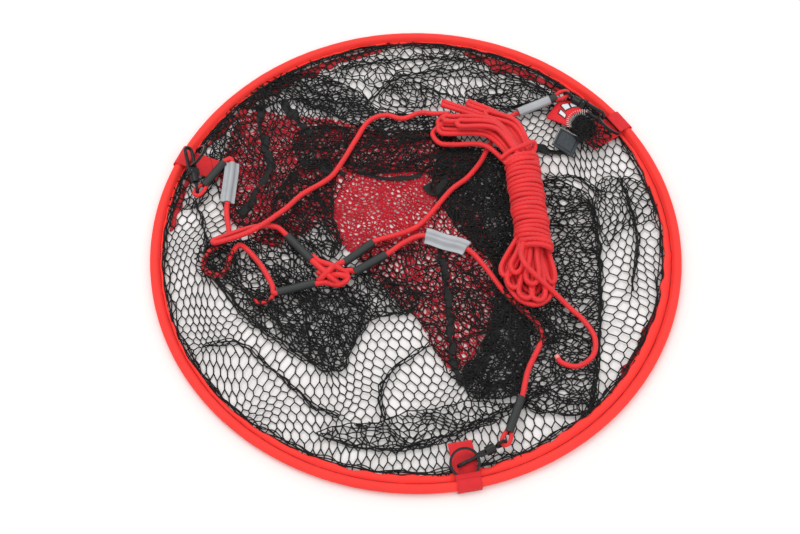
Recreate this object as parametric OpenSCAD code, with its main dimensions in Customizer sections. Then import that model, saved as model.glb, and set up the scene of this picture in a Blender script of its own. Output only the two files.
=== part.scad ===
// Folding drop net for crabs, lying flat and collapsed: a spring-steel hoop in a fabric sleeve,
// a net bag with a floor panel, three clips on rings, a three-leg bridle and a hank of haul rope.
// Origin: centre of the hoop, on the ground. +Z is up. Millimetres.

/* [Hoop] */
// Outside diameter over the fabric sleeve
hoop_d = 600; // [560:10:640]
// Diameter of the spring-steel hoop wire
wire_d = 4; // [3.6:0.1:4.2]
// Width of the fabric sleeve, from the rim to its inner hem
sleeve_w = 22; // [20:1:24]
// Height of the sleeve's tunnel, where the wire runs
tunnel_h = 10.6; // [10.2:0.1:11]

/* [Bag] */
// Radius of the red floor panel as it lies folded
floor_r = 160; // [130:5:170]
// Thickness of one folded layer of net
layer_h = 1.1; // [0.8:0.1:1.1]
// Width of the tape over a net seam
seam_w = 8; // [6:1:10]

/* [Cords] */
// Diameter of the bridle cord
cord_d = 6; // [5:0.1:6]
// Diameter of the haul rope
rope_d = 6.6; // [6:0.1:7]
// Length of a heat-shrunk tube over a cord end
tube_l = 46; // [40:1:50]
// Length of a reflective sleeve on a bridle
flag_l = 54; // [45:1:56]
// Width of a reflective sleeve
flag_w = 19; // [14:1:22]

/* [Clips] */
// Outside diameter of a split ring
ring_d = 33; // [31:0.5:34]
// Diameter of the rod that a clip is bent from
rod_d = 4; // [3.6:0.1:4.2]
// Width across a clip's hook
hook_w = 13.4; // [13:0.1:14]
// Outside diameter of a clip's swivel barrel
barrel_d = 10.4; // [9.6:0.1:11]

/* [Tabs and strap] */
// Width of the webbing of a tab
tab_w = 26; // [22:1:28]
// Thickness of the webbing
web_t = 1.2; // [1:0.1:1.3]
// Width of the closure strap
strap_w = 34; // [28:1:38]

/* [Hidden] */
$fn = 64;

// Colours
RED_FABRIC = [0.93, 0.16, 0.13];
RED_WEB = [0.80, 0.08, 0.12];
RED_CORD = [0.86, 0.10, 0.13];
RED_NET = [0.70, 0.05, 0.16];
BLACK_NET = [0.06, 0.06, 0.07];
BLACK_METAL = [0.10, 0.10, 0.11];
STEEL = [0.62, 0.63, 0.65];
TUBE_BLACK = [0.16, 0.17, 0.17];
REFLECTIVE = [0.66, 0.67, 0.69];
GREY_TAPE = [0.25, 0.27, 0.29];

// Hoop
k = hoop_d / 600;
rim_r = hoop_d / 2;
tunnel_r = tunnel_h / 2;
wire_r = rim_r - tunnel_r;
hem_r = rim_r - sleeve_w;
hem_h = 3;
bore_r = 3.3;
running = 0.05;
ferrule_span = 6;
ferrule_at = 100;
stitch_r = 0.4;

// Layers of the collapsed bag, from the ground up
floor_z = 0.4;
wall_z = floor_z + layer_h + 0.1;
tape_z = wall_z + layer_h + 0.02;
tape_t = 0.4;
floor_at = [-70 * k, 18 * k, floor_z];

// Tabs: where the three hang points are, and how each ring leans
FRONT = 0;
RIGHT = 1;
LEFT = 2;
TAB_ANGLE = [-79.4, 34.5, 156.5];
RING_TILT = [18, 45, 50];
// Where a clip crosses its ring, and how far it leans out of the ring's plane
CLIP_ANGLE = [107.4, 99, 105.2];
CLIP_LEAN = [-2, -13, -37.4];
// How far a clip's hook end lies behind the place where it crosses the ring
CLIP_REACH = [24.9, 5.9, 24.9];

ring_w = 2.6;
ring_h = 3;
slot_gap = 1;
ring_r = (ring_d - ring_w) / 2;
pivot_r = wire_r - tunnel_r - ring_w / 2 - 1;
pivot_z = 6.8;
web_z = hem_h + 2 * stitch_r + 0.2;
pocket_h = 3.2;
flap_l = 32;

// Clip
rod_r = rod_d / 2;
hook_y = (hook_w - rod_d) / 2;
pin_x = 25;
pin_y = hook_y - 0.4;
pin_r = 0.6;
gate_t = 3;
gate_w = 3;
root_r = 2.2;
neck_t = 6.4;
barrel_x = 28.5;
barrel_l = 10;
shank_r = 2;
eye_r = 5.4;
eye_rod_r = 1.7;
eye_x = barrel_x + barrel_l + 0.6 + eye_r + eye_rod_r;
loop_r = 4.6;
loop_cord_r = 2.4;

// Cords
cord_r = cord_d / 2;
rope_r = rope_d / 2;
tube_r = 4.7;
tube_bore_r = cord_r + 0.15;
CORD_FN = 12;
knot_at = [-95 * k, -50 * k, 15];
knot_r = 12;

function turn_x(a, v) = [v.x, v.y * cos(a) - v.z * sin(a), v.y * sin(a) + v.z * cos(a)];
function turn_y(a, v) = [v.x * cos(a) + v.z * sin(a), v.y, v.z * cos(a) - v.x * sin(a)];
function turn_z(a, v) = [v.x * cos(a) - v.y * sin(a), v.x * sin(a) + v.y * cos(a), v.z];
function unit(v) = v / norm(v);
function partway(from, to, distance) = from + unit(to - from) * distance;
function on_ground(p) = [p.x * k, p.y * k, p.z];
function on_ground_all(points) = [for (p = points) on_ground(p)];

// Where the crown's centre lies on a clip's own axis, with the ring wire at the clip's origin
function crown_x(i) = hook_y + rod_r - CLIP_REACH[i];
function ring_turn(i, v) = turn_z(TAB_ANGLE[i], turn_y(RING_TILT[i], v));
function ring_point(i, v) =
    turn_z(TAB_ANGLE[i], [pivot_r, 0, pivot_z]) + ring_turn(i, v - [ring_r, 0, 0]);
function clip_turn(i, v) = ring_turn(i, turn_z(CLIP_ANGLE[i], turn_y(-CLIP_LEAN[i], turn_x(90, v))));
function crossing(i) = ring_point(i, turn_z(CLIP_ANGLE[i], [ring_r, 0, 0]));
function clip_point(i, v) = crossing(i) + clip_turn(i, v);
// The roll that stands a swivel eye on its edge
function eye_roll(i) = atan2(clip_turn(i, [0, 0, 1]).z, clip_turn(i, [0, 1, 0]).z);
// The middle of the eye's end wire, which the bridle's loop goes round
function eye_end(i) = clip_point(i, [crown_x(i) + eye_x + eye_r, 0, 0]);

// Bridles from the clip's tube to the knot's tube, and the haul line
RIGHT_BEND = on_ground([119, 177, 10]);
TUBE_END = [on_ground([114, -187, 9]), (RIGHT_BEND + eye_end(RIGHT)) / 2, on_ground([-221, 110, 11])];
BRIDLE = [
    on_ground_all([[120, -162, 8], [135, -130, 8], [136, -110, 8], [127, -92, 8], [97, -70, 8],
        [60, -17, 9], [7, 4, 9], [-15, -2, 10], [-31, -15, 12]]),
    concat([RIGHT_BEND], on_ground_all([[107, 167, 9], [88, 135, 9], [76, 110, 9], [60, 88, 9],
        [40, 70, 9], [10, 30, 9], [-10, 15, 10], [-46, 1, 12]])),
    on_ground_all([[-213, 108, 9], [-216, 46, 9], [-212, 15, 9], [-217, 3, 9], [-236, -13, 9],
        [-236, -34, 9], [-216, -38, 9], [-208, -14, 9], [-197, -3, 9], [-175, -27, 9],
        [-160, -55, 11], [-157, -66, 12]]),
];
HAUL = on_ground_all([[-147, 10, 12], [-160, 19, 14], [-185, 16, 17], [-222, 1, 18], [-228, -4, 19],
    [-221, -5, 20], [-185, 7, 24], [-150, 37, 20], [-130, 62, 14], [-100, 87, 9], [-85, 110, 9],
    [-70, 140, 9], [-55, 167, 9], [-35, 176, 9], [-15, 171, 9], [5, 177, 12], [22, 174, 15]]);
TAIL = on_ground_all([[122, -46, 12], [150, -74, 10], [180, -95, 8], [195, -120, 8], [192, -140, 8],
    [175, -154, 8], [157, -150, 8], [152, -142, 8]]);
// Where each cord leaves the knot, and where it meets its tube
KNOT_AIM = [for (aim = [[5, -5, 0], [-2, 7, 0], [0, 0, 0], [0, 0, 0]]) knot_at + aim];
KNOT_TUBE_OUT = [BRIDLE[FRONT][8], BRIDLE[RIGHT][8], BRIDLE[LEFT][11], HAUL[0]];
// A tube stays clear of the bend at its end, and the two cord ends meet in its middle
bend_gap = cord_r + 0.5;
meet_gap = cord_r + 0.2;

// Hank
hank_from = on_ground([122, 100, 25]);
hank_to = on_ground([132, -12, 25]);
hank_r = 18;
hank_wraps = 17;

module at_tab(i) {
    rotate([0, 0, TAB_ANGLE[i]]) children();
}

module at_ring(i) {
    at_tab(i) translate([pivot_r, 0, pivot_z]) rotate([0, RING_TILT[i], 0])
        translate([-ring_r, 0, 0]) children();
}

module at_clip(i) {
    at_ring(i) rotate([0, 0, CLIP_ANGLE[i]]) translate([ring_r, 0, 0])
        rotate([0, -CLIP_LEAN[i], 0]) rotate([90, 0, 0]) translate([crown_x(i), 0, 0]) children();
}

// Turns +Z onto the line from one point to the other
module along(from, to) {
    d = to - from;
    translate(from) rotate([0, acos(d.z / norm(d)), atan2(d.y, d.x)]) children();
}

module cord_through(points, r, sides) {
    for (n = [1 : len(points) - 1]) hull() {
        translate(points[n - 1]) sphere(r = r, $fn = sides);
        translate(points[n]) sphere(r = r, $fn = sides);
    }
}

module rod(from, to, r) {
    along(from, to) cylinder(h = norm(to - from), r = r);
}

module sleeve_section() {
    difference() {
        union() {
            translate([hem_r, 0]) square([sleeve_w - tunnel_r, hem_h]);
            translate([wire_r - tunnel_r, 0]) square([tunnel_h, tunnel_r]);
            translate([wire_r, tunnel_r]) circle(r = tunnel_r);
        }
        translate([wire_r, tunnel_r]) circle(r = bore_r);
    }
}

module hoop_spring() {
    color(STEEL) rotate([0, 0, ferrule_at]) rotate_extrude(angle = 359.9, $fn = 180)
        translate([wire_r, tunnel_r]) circle(r = wire_d / 2);
}

module hoop_ferrule() {
    color(STEEL) rotate([0, 0, ferrule_at - ferrule_span / 2])
        rotate_extrude(angle = ferrule_span, $fn = 180) translate([wire_r, tunnel_r]) difference() {
            circle(r = bore_r - 0.2);
            circle(r = wire_d / 2 + running);
        }
}

module rim_sleeve() {
    color(RED_FABRIC) rotate_extrude($fn = 180) sleeve_section();
}

module sleeve_stitching() {
    color(RED_WEB) for (r = [hem_r + 2.5, wire_r - tunnel_r - 1])
        rotate_extrude($fn = 180) translate([r, hem_h + stitch_r + 0.02]) circle(r = stitch_r);
}

// The folded wall fills the hoop; the gap shows the floor panel through it
module net_wall() {
    gap_at = on_ground([-42, 45, 0]);
    color(BLACK_NET) translate([0, 0, wall_z]) difference() {
        cylinder(h = layer_h, r = hem_r - 0.3, $fn = 180);
        translate([gap_at.x, gap_at.y, -1]) cylinder(h = layer_h + 2, r = 55 * k);
    }
}

module seam_tape(points) {
    color(BLACK_NET) for (n = [1 : len(points) - 1]) {
        d = points[n] - points[n - 1];
        translate([points[n - 1].x, points[n - 1].y, tape_z]) rotate([0, 0, atan2(d.y, d.x)])
            translate([0, -seam_w / 2, 0]) cube([norm(d), seam_w, tape_t]);
    }
}

module wall_seam_tape_left() {
    seam_tape(on_ground_all([[-187, 190, 0], [-174, 134, 0], [-170, 98, 0], [-200, 38, 0]]));
}

module wall_seam_tape_right() {
    seam_tape(on_ground_all([[26, -8, 0], [31, -64, 0], [38, -150, 0], [52, -174, 0]]));
}

module floor_panel() {
    color(RED_NET) translate(floor_at) cylinder(h = layer_h, r = floor_r * k, $fn = 120);
}

module floor_seam_tape() {
    color(BLACK_NET) translate(floor_at) difference() {
        cylinder(h = layer_h, r = floor_r * k + seam_w, $fn = 120);
        translate([0, 0, -1]) cylinder(h = layer_h + 2, r = floor_r * k + running, $fn = 120);
    }
}

// Webbing: an inner flap, a pocket round the ring, and a wrap over the rim
module tab_section() {
    fold_r = pocket_h / 2 + web_t;
    fold_x = hem_r - 0.5 + fold_r;
    top_z = web_z + web_t + pocket_h;
    translate([hem_r - flap_l, web_z]) square([flap_l + 9.6, web_t]);
    difference() {
        translate([fold_x, web_z + fold_r]) circle(r = fold_r);
        translate([fold_x, web_z + fold_r]) circle(r = pocket_h / 2);
        translate([fold_x, web_z - 1]) square([2 * fold_r, 4 * fold_r]);
    }
    translate([fold_x, top_z]) square([wire_r - fold_x - 4.6, web_t]);
    difference() {
        translate([wire_r, tunnel_r]) circle(r = tunnel_r + running + web_t);
        translate([wire_r, tunnel_r]) circle(r = tunnel_r + running);
        translate([fold_x, -fold_r]) square([wire_r - fold_x + 40, fold_r + tunnel_r]);
        translate([fold_x - 10, 0]) square([wire_r - fold_x + 4, top_z]);
    }
    translate([rim_r + running, 0.1]) square([web_t, tunnel_r]);
}

// The slot in the pocket follows the ring, as it leans
module tab(i) {
    span = tab_w / wire_r * 180 / PI;
    color(RED_WEB) difference() {
        at_tab(i) rotate([0, 0, -span / 2])
            rotate_extrude(angle = span, $fn = 180) tab_section();
        at_ring(i) rotate_extrude() translate([ring_r, 0])
            square([ring_w + slot_gap, ring_h + slot_gap], center = true);
    }
}

module tab_front() { tab(FRONT); }
module tab_right() { tab(RIGHT); }
module tab_left() { tab(LEFT); }

// Two turns of flat wire, with the groove between them
module split_ring(i) {
    color(BLACK_METAL) at_ring(i) rotate_extrude() translate([ring_r, 0]) difference() {
        square([ring_w, ring_h], center = true);
        for (side = [-1, 1]) translate([side * ring_w / 2, 0]) circle(r = 0.4);
    }
}

module split_ring_front() { split_ring(FRONT); }
module split_ring_right() { split_ring(RIGHT); }
module split_ring_left() { split_ring(LEFT); }

module clip_body(i) {
    color(BLACK_METAL) at_clip(i) difference() {
        union() {
            rotate([0, 0, 90]) rotate_extrude(angle = 180) translate([hook_y, 0]) circle(r = rod_r);
            rod([0, -hook_y, 0], [pin_x - 1, -hook_y, 0], rod_r);
            rod([0, hook_y, 0], [4, hook_y, 0], rod_r);
            translate([pin_x - 3.5, -hook_w / 2, -neck_t / 2])
                cube([barrel_x + 0.5 - pin_x + 3.5, hook_w, neck_t]);
            rod([barrel_x, 0, 0], [barrel_x + barrel_l, 0, 0], barrel_d / 2);
        }
        translate([pin_x - 4, -1, -gate_t / 2 - 0.1]) cube([6.3, hook_w, gate_t + 0.2]);
        translate([pin_x, pin_y, -neck_t]) cylinder(h = 2 * neck_t, r = pin_r + running);
        translate([pin_x, pin_y, -gate_t / 2 - 0.1]) cylinder(h = gate_t + 0.2, r = root_r + 0.3);
        rod([barrel_x + 2.8, 0, 0], [barrel_x + 5.5, 0, 0], shank_r + 1);
        rod([barrel_x + 5, 0, 0], [barrel_x + barrel_l + 1, 0, 0], shank_r + 0.1);
    }
}

module clip_body_front() { clip_body(FRONT); }
module clip_body_right() { clip_body(RIGHT); }
module clip_body_left() { clip_body(LEFT); }

module clip_gate(i) {
    tip_x = 4.7;
    color(BLACK_METAL) at_clip(i) difference() {
        union() {
            translate([pin_x, pin_y, -gate_t / 2]) cylinder(h = gate_t, r = root_r);
            translate([tip_x, hook_y - gate_w / 2, -gate_t / 2])
                cube([pin_x - tip_x, gate_w, gate_t]);
        }
        translate([pin_x, pin_y, -gate_t]) cylinder(h = 2 * gate_t, r = pin_r + running);
    }
}

module clip_gate_front() { clip_gate(FRONT); }
module clip_gate_right() { clip_gate(RIGHT); }
module clip_gate_left() { clip_gate(LEFT); }

module gate_pin(i) {
    color(STEEL) at_clip(i) translate([pin_x, pin_y, -neck_t / 2]) cylinder(h = neck_t, r = pin_r);
}

module gate_pin_front() { gate_pin(FRONT); }
module gate_pin_right() { gate_pin(RIGHT); }
module gate_pin_left() { gate_pin(LEFT); }

// A bent leaf under the gate's root, which holds the gate shut
module gate_spring(i) {
    leaf_t = 0.35;
    leaf_w = 2.2;
    leaf_h = pin_y - root_r + 0.5;
    color(STEEL) at_clip(i) translate([pin_x - 2.6, -0.9, -leaf_w / 2]) {
        cube([4.6, leaf_t, leaf_w]);
        translate([4.6 - leaf_t, 0, 0]) cube([leaf_t, leaf_h, leaf_w]);
        translate([0, leaf_h - leaf_t, 0]) cube([4.6, leaf_t, leaf_w]);
    }
}

module gate_spring_front() { gate_spring(FRONT); }
module gate_spring_right() { gate_spring(RIGHT); }
module gate_spring_left() { gate_spring(LEFT); }

// A headed shank that turns in the barrel, with a ring for the bridle's loop
module swivel_eye(i) {
    color(BLACK_METAL) at_clip(i) rotate([eye_roll(i), 0, 0]) {
        rod([barrel_x + 3.1, 0, 0], [barrel_x + 4.7, 0, 0], shank_r + 0.8);
        rod([barrel_x + 4, 0, 0], [eye_x - eye_r, 0, 0], shank_r);
        translate([eye_x, 0, 0]) rotate_extrude() translate([eye_r, 0]) circle(r = eye_rod_r);
    }
}

module swivel_eye_front() { swivel_eye(FRONT); }
module swivel_eye_right() { swivel_eye(RIGHT); }
module swivel_eye_left() { swivel_eye(LEFT); }

module tube_over(from, to, length) {
    color(TUBE_BLACK) along(from, to) difference() {
        cylinder(h = length, r = tube_r);
        translate([0, 0, -1]) cylinder(h = length + 2, r = tube_bore_r);
    }
}

// A clip's tube starts just past the loop through the swivel eye
function tube_start(i) = partway(eye_end(i), TUBE_END[i], loop_r + loop_cord_r + 4);
function clip_tube_l(i) = min(tube_l, norm(TUBE_END[i] - tube_start(i)) - bend_gap);

module clip_tube_front() { tube_over(tube_start(FRONT), TUBE_END[FRONT], clip_tube_l(FRONT)); }
module clip_tube_right() { tube_over(tube_start(RIGHT), TUBE_END[RIGHT], clip_tube_l(RIGHT)); }
module clip_tube_left() { tube_over(tube_start(LEFT), TUBE_END[LEFT], clip_tube_l(LEFT)); }

// The end of each cord stops halfway through the tube on its side of the knot
module bridle_cord(i) {
    path = BRIDLE[i];
    last = path[len(path) - 1];
    into = partway(last, KNOT_AIM[i], tube_l / 2 - meet_gap);
    loop_at = eye_end(i);
    color(RED_CORD) {
        cord_through(concat([partway(loop_at, TUBE_END[i], loop_r + cord_r), TUBE_END[i]],
            path, [into]), cord_r, CORD_FN);
        at_clip(i) rotate([eye_roll(i), 0, 0]) translate([eye_x + eye_r, 0, 0])
            rotate([90, 0, 0]) rotate_extrude($fn = 24) translate([loop_r, 0])
                circle(r = loop_cord_r, $fn = CORD_FN);
    }
}

module bridle_cord_front() { bridle_cord(FRONT); }
module bridle_cord_right() { bridle_cord(RIGHT); }
module bridle_cord_left() { bridle_cord(LEFT); }

// A flat grey flag with a tunnel for the cord; fits is the radius of what runs in it
module reflective_sleeve(from, to, length, lean, fits, wide) {
    color(REFLECTIVE) along(from, to) rotate([0, 0, lean]) difference() {
        union() {
            cylinder(h = length, r = fits + 1);
            translate([-0.9, -wide / 2, 0]) cube([1.8, wide, length]);
        }
        translate([0, 0, -1]) cylinder(h = length + 2, r = fits + 0.15);
    }
}

module reflective_sleeve_front() {
    start = partway(BRIDLE[FRONT][5], BRIDLE[FRONT][6], 2);
    reflective_sleeve(start, BRIDLE[FRONT][6], flag_l, 20, cord_r, flag_w);
}
module reflective_sleeve_right() {
    start = partway(RIGHT_BEND, TUBE_END[RIGHT], 4);
    reflective_sleeve(start, TUBE_END[RIGHT], flag_l - 12, 80, tube_r, 2 * tube_r + 2);
}
module reflective_sleeve_left() {
    start = partway(BRIDLE[LEFT][0], BRIDLE[LEFT][1], 8);
    reflective_sleeve(start, BRIDLE[LEFT][1], flag_l, 10, cord_r, flag_w);
}

module knot_tube(i) {
    tube_over(partway(KNOT_TUBE_OUT[i], KNOT_AIM[i], bend_gap), KNOT_AIM[i], tube_l - bend_gap);
}

module knot_tube_front() { knot_tube(FRONT); }
module knot_tube_right() { knot_tube(RIGHT); }
module knot_tube_left() { knot_tube(LEFT); }
module knot_tube_haul() { knot_tube(3); }

// The knot is cord wound through itself, with a short stub of each cord halfway into its tube
module bridle_knot() {
    turns = [for (a = [10 : 20 : 370]) knot_at + [
        knot_r * (sin(a) + 2 * sin(2 * a)) / 3,
        knot_r * (cos(a) - 2 * cos(2 * a)) / 3,
        -cord_r * 1.1 * sin(3 * a)]];
    color(RED_CORD) {
        cord_through(turns, cord_r * 1.15, 10);
        for (n = [0 : len(KNOT_AIM) - 1]) {
            stub = partway(KNOT_TUBE_OUT[n], KNOT_AIM[n], tube_l / 2 + meet_gap);
            cord_through([KNOT_AIM[n], stub], cord_r, CORD_FN);
        }
    }
}

module haul_rope_lead() {
    color(RED_CORD) cord_through(concat(
        [partway(HAUL[0], KNOT_AIM[3], tube_l / 2 - meet_gap)], HAUL), cord_r, CORD_FN);
}

// One bend of rope: two straight legs and a half turn, in its own plane
module bight(length, turn_r) {
    rotate([0, 0, -90]) rotate_extrude(angle = 180) translate([turn_r, 0]) circle(r = rope_r);
    for (side = [-1, 1]) rod([0, side * turn_r, 0], [-length, side * turn_r, 0], rope_r);
}

module haul_rope_hank() {
    pitch = norm(hank_to - hank_from) / hank_wraps;
    upper = [[150, 70, 19, 12], [142, 64, 26, 9], [132, 56, 33, 12], [122, 60, 20, 8]];
    lower = [[-100, 40, 20, 11], [-88, 46, 27, 13], [-74, 38, 33, 10]];
    color(RED_CORD) {
        along(hank_from, hank_to) rotate_extrude() {
            square([hank_r - rope_r, hank_wraps * pitch]);
            for (n = [0 : hank_wraps - 1])
                translate([hank_r - rope_r, (n + 0.5) * pitch]) circle(r = pitch * 0.52);
        }
        for (b = upper) translate([hank_from.x, hank_from.y, b.z]) rotate([0, 0, b[0]])
            translate([b[1], 0, 0]) bight(b[1], b[3]);
        for (b = lower) translate([hank_to.x, hank_to.y + 6, b.z]) rotate([0, 0, b[0]])
            translate([b[1], 0, 0]) bight(b[1], b[3]);
    }
}

module haul_rope_tail() {
    color(RED_CORD) cord_through(TAIL, rope_r, CORD_FN);
}

// Closure strap, in its own frame: +X leads away from the rim
strap_at = on_ground([214, 149, 5.4]);
strap_turn = 196;
roll_r = 8;

module at_strap() {
    translate(strap_at) rotate([0, 0, strap_turn]) children();
}

// Sewn on the right tab's flap
module strap_anchor() {
    color(RED_WEB) at_strap() translate([-10.5, -strap_w / 2, 0]) cube([10.5, strap_w, web_t]);
}

module strap_loop_tape() {
    color(BLACK_NET) at_strap() {
        translate([0.1, -strap_w / 2, 0]) cube([18, strap_w, web_t]);
        translate([roll_r + 4, strap_w / 2, roll_r + web_t - 0.4]) rotate([90, 0, 0])
            difference() {
                cylinder(h = strap_w, r = roll_r);
                translate([0, 0, -1]) cylinder(h = strap_w + 2, r = roll_r - 1.6);
            }
    }
}

module strap_patch() {
    color(RED_WEB) at_strap() translate([roll_r + 4, strap_w / 2, roll_r + web_t - 0.4])
        rotate([90, 0, 0]) {
            difference() {
                cylinder(h = strap_w, r = roll_r + 1.4);
                translate([0, 0, -1]) cylinder(h = strap_w + 2, r = roll_r + 0.1);
                translate([-2 * roll_r, -2 * roll_r, -1]) cube([4 * roll_r, 2 * roll_r, strap_w + 2]);
                translate([-2 * roll_r, -1, -1]) cube([2 * roll_r, 3 * roll_r, strap_w + 2]);
            }
        }
}

module strap_hook_tape() {
    color(GREY_TAPE) at_strap() translate([18.4, -strap_w / 2, 0]) cube([36, strap_w, 1.6]);
}

hoop_spring();
hoop_ferrule();
rim_sleeve();
sleeve_stitching();
net_wall();
wall_seam_tape_left();
wall_seam_tape_right();
floor_panel();
floor_seam_tape();
tab_front();
tab_right();
tab_left();
split_ring_front();
split_ring_right();
split_ring_left();
clip_body_front();
clip_body_right();
clip_body_left();
clip_gate_front();
clip_gate_right();
clip_gate_left();
gate_pin_front();
gate_pin_right();
gate_pin_left();
gate_spring_front();
gate_spring_right();
gate_spring_left();
swivel_eye_front();
swivel_eye_right();
swivel_eye_left();
clip_tube_front();
clip_tube_right();
clip_tube_left();
bridle_cord_front();
bridle_cord_right();
bridle_cord_left();
reflective_sleeve_front();
reflective_sleeve_right();
reflective_sleeve_left();
knot_tube_front();
knot_tube_right();
knot_tube_left();
knot_tube_haul();
bridle_knot();
haul_rope_lead();
haul_rope_hank();
haul_rope_tail();
strap_anchor();
strap_patch();
strap_loop_tape();
strap_hook_tape();
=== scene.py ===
"""Looks of a folding drop net that lies flat: the net, sleeve, webbing and cords round the CAD frame.

Lengths are in millimetres until a mesh is made. +Z is up and the hoop's centre is the origin.
"""

import math

import bpy
import numpy as np
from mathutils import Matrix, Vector


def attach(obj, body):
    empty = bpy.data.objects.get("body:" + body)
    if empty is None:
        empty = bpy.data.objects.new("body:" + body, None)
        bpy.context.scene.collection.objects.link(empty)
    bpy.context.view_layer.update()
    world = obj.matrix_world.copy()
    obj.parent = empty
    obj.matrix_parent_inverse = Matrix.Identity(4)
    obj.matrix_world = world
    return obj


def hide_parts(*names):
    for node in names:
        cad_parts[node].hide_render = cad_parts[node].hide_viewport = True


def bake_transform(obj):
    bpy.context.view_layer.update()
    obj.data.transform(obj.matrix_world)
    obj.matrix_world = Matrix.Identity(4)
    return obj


MM = 0.001
TAU = 2 * math.pi
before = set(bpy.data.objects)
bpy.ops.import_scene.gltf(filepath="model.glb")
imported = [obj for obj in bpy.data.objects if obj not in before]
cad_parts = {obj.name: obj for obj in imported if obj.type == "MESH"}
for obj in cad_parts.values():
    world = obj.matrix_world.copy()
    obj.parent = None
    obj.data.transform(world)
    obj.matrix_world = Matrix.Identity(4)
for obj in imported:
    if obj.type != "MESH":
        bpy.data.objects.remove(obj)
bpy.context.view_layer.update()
scene = bpy.context.scene

# The bag's floor is a disc that lies off centre; the wall's top is sewn to the hem
FLOOR_AT = np.array([-70.0, 18.0])
FLOOR_R = 150.0
RIM_R = 300.0
WALL_TOP_R = 274.0
# Panels of the wall: the way each one faces, and how far out its foot is
SECTORS = 24
WALL_ANGLE = (np.arange(SECTORS) + 0.5) / SECTORS * TAU
WALL_OUT = np.stack([np.cos(WALL_ANGLE), np.sin(WALL_ANGLE)], 1)
WALL_FOOT = WALL_OUT @ FLOOR_AT + FLOOR_R
STRAND_R, RED_STRAND_R = 0.82, 0.85
# A cell's row pitch and the height of its zigzag, in cell widths
ROW_PITCH, ZIGZAG = 1.12, 0.3
# How far a pleat gathers the net, and by what share
PLEAT_REACH, PLEAT_SHARE = 13.0, 0.7
# How far the net laps the hem's inner edge, and its shortest strand
ONTO_HEM, SHORTEST = 2.5, 0.8


# ---- materials
def linear(rgb):
    c = np.array(rgb, float) / 255
    return tuple(np.where(c <= 0.04045, c / 12.92, ((c + 0.055) / 1.055) ** 2.4)) + (1.0,)


def material(name, rgb, rough=0.6, spread=0.12, grain=120.0, bump=0.0, weave=None, **more):
    """A plain finish with mottled colour. weave is (u count, v count, depth) per millimetre of UV."""
    m = bpy.data.materials.new(name)
    m.use_nodes = True
    nodes, links = m.node_tree.nodes, m.node_tree.links
    shader = nodes["Principled BSDF"]
    shader.inputs["Roughness"].default_value = rough
    for key, value in more.items():
        shader.inputs[key.replace("_", " ")].default_value = value

    def node(kind, inputs=(), operation=None):
        """A node with its inputs by name or number: each a value or another node's output."""
        made = nodes.new("ShaderNode" + kind)
        if operation:
            made.operation = operation
        for key, value in dict(inputs).items():
            if isinstance(value, bpy.types.NodeSocket):
                links.new(value, made.inputs[key])
            else:
                made.inputs[key].default_value = value
        return made

    place = node("TexCoord").outputs["Object"]
    height = node("TexNoise", {"Scale": grain, "Detail": 3, "Vector": place}).outputs["Fac"]
    ramp = node("ValToRGB", {"Fac": height})
    base = np.array(linear(rgb)[:3])
    for element, at, share in zip(ramp.color_ramp.elements, (0.3, 0.7), (1 - spread, 1 + spread)):
        element.position = at
        element.color = (*np.minimum(base * share, 1), 1)
    colour = ramp.outputs["Color"]
    if weave:
        uv = node("UVMap")
        uv.uv_map = "UV"
        split = node("SeparateXYZ", {"Vector": uv.outputs["UV"]})
        waves = []
        for axis, count in zip("XY", weave):
            turn = node("Math", {0: split.outputs[axis], 1: count * TAU}, "MULTIPLY")
            waves.append(node("Math", {0: turn.outputs[0]}, "SINE").outputs[0])
        height = node("Math", {0: waves[0], 1: waves[1]}, "MULTIPLY").outputs[0]
        dark = node("Math", {0: height, 1: weave[2], 2: 1 - weave[2]}, "MULTIPLY_ADD")
        colour = node("VectorMath", {0: colour, "Scale": dark.outputs[0]}, "SCALE").outputs[0]
    links.new(colour, shader.inputs["Base Color"])
    if bump:
        relief = node("Bump", {"Strength": bump, "Distance": 0.4 * MM, "Height": height})
        links.new(relief.outputs["Normal"], shader.inputs["Normal"])
    return m


SLEEVE_RED = material("sleeve_red", (250, 52, 44), 0.75, 0.06, 25, 0.25)
# A darker copy of the sleeve's red: painted shade for the allowance inside the hem
SLEEVE_PAINTED_SHADE = material("sleeve_painted_shade", (176, 24, 34), 0.8, 0.1, 40)
# The seam thread's dark red is partly its own colour and partly painted shade of the seam's groove
THREAD_RED_AND_SHADE = material("thread_red_and_shade", (168, 22, 24), 0.7)
NET_BLACK = material("net_black", (9, 9, 10), 0.7, 0.12, 200)
TAPE_BLACK = material("tape_black", (13, 13, 14), 0.8, 0.3, 300, 0.5)
NET_RED = material("net_red", (206, 16, 44), 0.6, 0.15, 90)
WEB_RED = material("web_red", (236, 30, 40), 0.7, 0.08, 60, 0.5, (0.55, 0.8, 0.1))
CORD_RED = material("cord_red", (238, 26, 34), 0.5, 0.08, 60, 0.4, (0.22, 0.35, 0.1),
                    Sheen_Weight=0.15)
CORD_TIP = material("cord_tip", (236, 150, 140), 0.4)
TUBE_GREY = material("tube_grey", (38, 42, 41), 0.55, 0.12, 50, 0.2)
METAL_BLACK = material("metal_black", (24, 24, 26), 0.34, 0.2, 80, Metallic=0.35)
METAL_BARE = material("metal_bare", (150, 148, 140), 0.3, 0.1, 80, Metallic=1.0)
REFLECT_GREY = material("reflect_grey", (166, 169, 173), 0.42, 0.07, 60, 0.2, Metallic=0.15)
LOOP_BLACK = material("loop_black", (20, 20, 22), 0.95, 0.5, 700, 1.0)
HOOK_GREY = material("hook_grey", (62, 70, 76), 0.6, 0.2, 300, 0.6, (0.5, 0.5, 0.25))
THREAD_PALE = material("thread_pale", (205, 205, 200), 0.6)
PRINT_PALE = material("print_pale", (226, 228, 230), 0.6)
PRINT_DARK = material("print_dark", (18, 18, 20), 0.6)


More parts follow.
